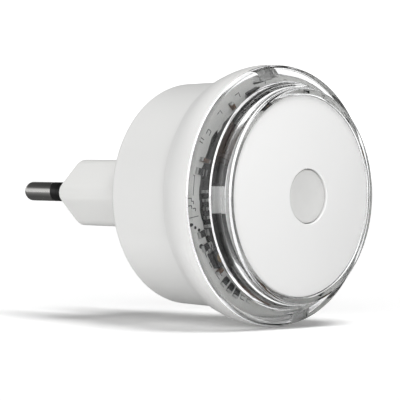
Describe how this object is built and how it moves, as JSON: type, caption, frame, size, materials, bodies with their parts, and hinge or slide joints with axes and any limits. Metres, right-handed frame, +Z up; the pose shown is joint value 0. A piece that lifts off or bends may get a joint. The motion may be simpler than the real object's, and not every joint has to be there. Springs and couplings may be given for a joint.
{
  "type": "ultrasonic pest repeller",
  "caption": "Round plug-in pest repeller: white housing on a two-pin mains plug, clear stepped light ring, domed face and frosted push button.",
  "frame": {"origin": "centre of the plug body's mating face, midway between the two pins", "axes": "+Y the way the pins point, into the socket; -Y the way the face looks; +Z up; the pins lie side by side along X"},
  "size_m": [0.0518, 0.0722, 0.0518],
  "materials": {
    "white_shell": "smooth white ABS, light gloss",
    "white_plug": "smooth white plastic, light gloss",
    "white_face": "smooth white, satin",
    "pin_metal": "nickel plate, bright",
    "black_sleeve": "black insulating sleeve, satin",
    "contact_brass": "rolled brass",
    "tan_board": "paper laminate board",
    "steel_screws": "zinc plate",
    "yellow_film": "box film capacitor",
    "can_sleeve": "printed shrink sleeve, no lettering",
    "chip_black": "moulded black epoxy",
    "green_coat": "lacquer coat",
    "blue_coat": "epoxy dip",
    "orange_glass": "glass diode",
    "ferrite": "sintered ferrite",
    "copper_wire": "enamelled copper wire",
    "white_board": "pale solder mask with dark marks",
    "tinned_metal": "tinned",
    "brown_can": "dark brown shrink sleeve",
    "brown_block": "brown ceramic",
    "led_white": "white lamp body with pale yellow fill",
    "led_dark": "black lamp body with a resin window",
    "black_holder": "black moulding",
    "piezo_white": "fired ceramic",
    "red_wire": "insulated wire",
    "black_foam": "closed-cell foam",
    "frosted_cap": "frosted translucent plastic",
    "clear_ring": "clear polished acrylic"
  },
  "bodies": {
    "housing": {"rear_housing": "white_shell", "plug_body": "white_plug", "pin_left": "pin_metal", "pin_right": "pin_metal", "sleeve_left": "black_sleeve", "sleeve_right": "black_sleeve", "contact_left": "contact_brass", "contact_right": "contact_brass", "power_board": "tan_board", "board_screws": "steel_screws", "film_capacitor": "yellow_film", "bulk_capacitor": "can_sleeve", "bridge_rectifier": "chip_black", "fusible_resistor": "green_coat", "varistor": "blue_coat", "zener_diode": "orange_glass", "drive_coil": "ferrite", "coil_winding": "copper_wire", "header_strip": "chip_black", "header_pins": "contact_brass", "light_board": "white_board", "controller_chip": "chip_black", "chip_leads": "tinned_metal", "storage_capacitor": "brown_can", "tuning_capacitor": "brown_block", "ring_leds": "led_dark", "status_led": "led_white", "chip_resistors": "chip_black", "chip_capacitors": "brown_block", "drive_transistors": "chip_black", "piezo_holder": "black_holder", "piezo_plate": "contact_brass", "piezo_ceramic": "piezo_white", "piezo_wires": "red_wire", "foam_gasket": "black_foam", "switch_body": "chip_black", "switch_cover": "tinned_metal", "snap_dome": "tinned_metal", "face_plate": "white_face", "clear_lens": "clear_ring"},
    "button": {"button_cap": "frosted_cap", "switch_plunger": "chip_black"}
  },
  "joints": [
    {"name": "button_press", "type": "slide", "parent": "housing", "child": "button", "axis": [0, 1, 0], "range_m": [0, 0.0005], "stiffness_N_per_m": 2000, "deforming": ["snap_dome"]}
  ]
}
